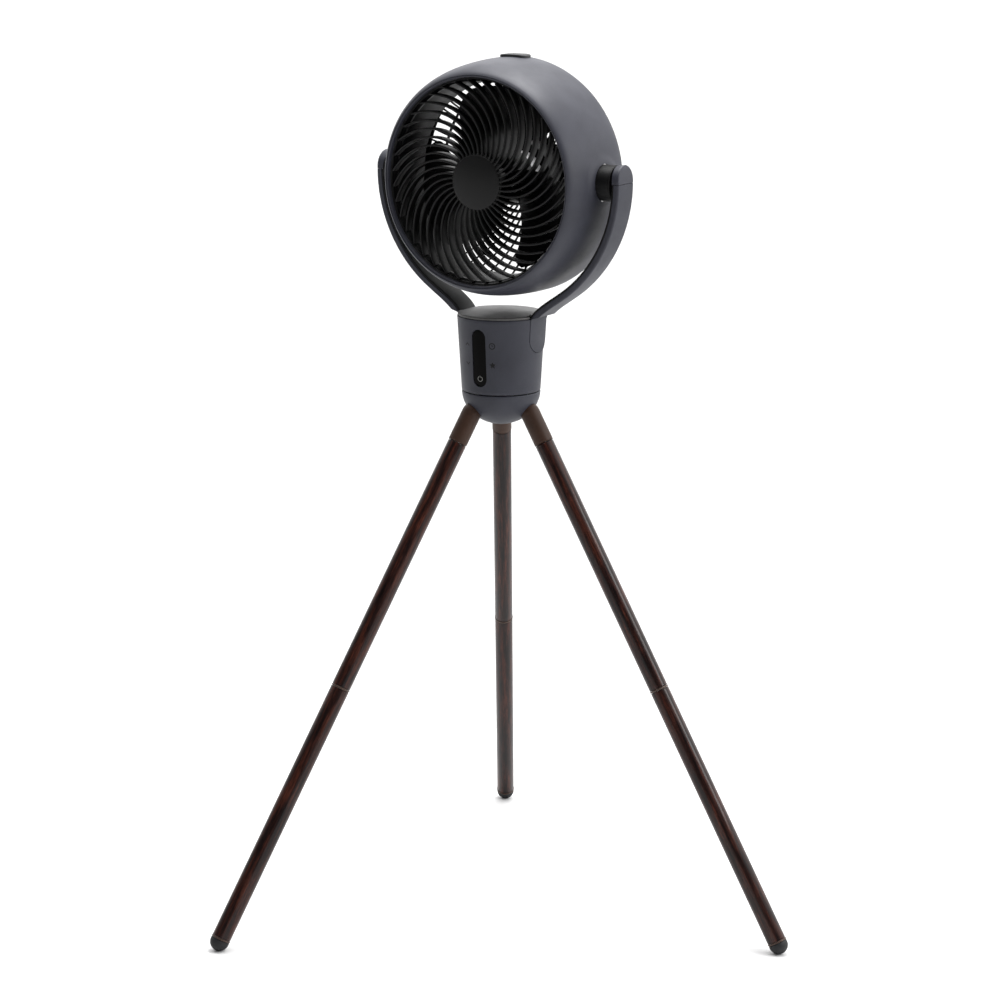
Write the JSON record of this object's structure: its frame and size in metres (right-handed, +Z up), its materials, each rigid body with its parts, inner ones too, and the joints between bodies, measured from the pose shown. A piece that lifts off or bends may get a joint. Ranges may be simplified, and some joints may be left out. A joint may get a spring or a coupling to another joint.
{
  "type": "tripod circulator fan",
  "caption": "Round drum circulator fan with a spiral grille, tilting in a two-armed yoke that pans on a wooden tripod.",
  "frame": {"origin": "on the floor, under the middle of the whole object's bounding box; the pan axis stands at x -0.08734, y +0.00348 because the tripod's three feet aren't centred on it", "axes": "+Z up; -Y is the way the head blows at rest; +X is the head's own left-hand side seen from behind, and the tilt axis lies along X"},
  "size_m": [0.57, 0.6474, 0.9831],
  "materials": {
    "slate_plastic": "matte slate blue-grey moulded plastic with a fine spark texture",
    "charcoal_plastic": "matte charcoal moulded plastic",
    "grille_plastic": "satin black moulded plastic",
    "black_plastic": "matte black moulded plastic",
    "display_panel": "gloss black touch panel",
    "circuit_board": "green circuit board",
    "dark_wood": "dark reddish-brown wood, straight grain, clear satin varnish",
    "socket_plastic": "matte dark brown moulded plastic",
    "bronze_ring": "satin brown plastic collar",
    "foot_rubber": "matte near-black rubber",
    "motor_metal": "cast or rolled light metal",
    "steel": "plain zinc-plated steel"
  },
  "bodies": {
    "tripod": {"base_dome": "slate_plastic", "foot_cap_1": "foot_rubber", "foot_cap_2": "foot_rubber", "foot_cap_3": "foot_rubber", "foot_ring_1": "bronze_ring", "foot_ring_2": "bronze_ring", "foot_ring_3": "bronze_ring", "leg_hub": "motor_metal", "leg_socket_1": "socket_plastic", "leg_socket_2": "socket_plastic", "leg_socket_3": "socket_plastic", "lower_leg_1": "dark_wood", "lower_leg_2": "dark_wood", "lower_leg_3": "dark_wood", "pan_bearing_lower_race": "steel", "pan_shaft": "steel", "section_coupler_1": "bronze_ring", "section_coupler_2": "bronze_ring", "section_coupler_3": "bronze_ring", "socket_stud_1": "steel", "socket_stud_2": "steel", "socket_stud_3": "steel", "upper_leg_1": "dark_wood", "upper_leg_2": "dark_wood", "upper_leg_3": "dark_wood"},
    "swivel": {"body_base_plate": "black_plastic", "body_shell": "slate_plastic", "control_board": "circuit_board", "display_window": "display_panel", "left_arm_cap": "slate_plastic", "left_arm_liner": "black_plastic", "left_arm_screw": "steel", "left_arm_shell": "slate_plastic", "left_friction_washer": "steel", "pan_bearing_upper_race": "steel", "pan_motor": "motor_metal", "power_inlet": "black_plastic", "right_arm_cap": "slate_plastic", "right_arm_liner": "black_plastic", "right_arm_screw": "steel", "right_arm_shell": "slate_plastic", "right_friction_washer": "steel", "top_cover": "charcoal_plastic", "yoke_bracket": "steel"},
    "head": {"drum_shell": "slate_plastic", "inner_duct": "black_plastic", "front_grille": "grille_plastic", "rear_grille": "grille_plastic", "grille_cap": "grille_plastic", "fan_motor": "motor_metal", "motor_mount": "black_plastic", "top_pad": "foot_rubber", "left_pivot_boss": "black_plastic", "right_pivot_boss": "black_plastic", "left_pivot_shaft": "steel", "right_pivot_shaft": "steel"},
    "rotor": {"impeller": "black_plastic", "fan_spindle": "steel", "spindle_nut": "black_plastic"}
  },
  "joints": [
    {"name": "pan", "type": "hinge", "parent": "tripod", "child": "swivel", "pos_m": [-0.08734, 0.00348, 0.6075], "axis": [0, 0, 1], "range_deg": [-13, 77]},
    {"name": "tilt", "type": "hinge", "parent": "swivel", "child": "head", "pos_m": [-0.08734, 0.00648, 0.8495], "axis": [-1, 0, 0], "range_deg": [-15, 90]},
    {"name": "spin", "type": "hinge", "parent": "head", "child": "rotor", "pos_m": [-0.08734, 0.00048, 0.8473], "axis": [0, -1, 0], "continuous": true}
  ]
}
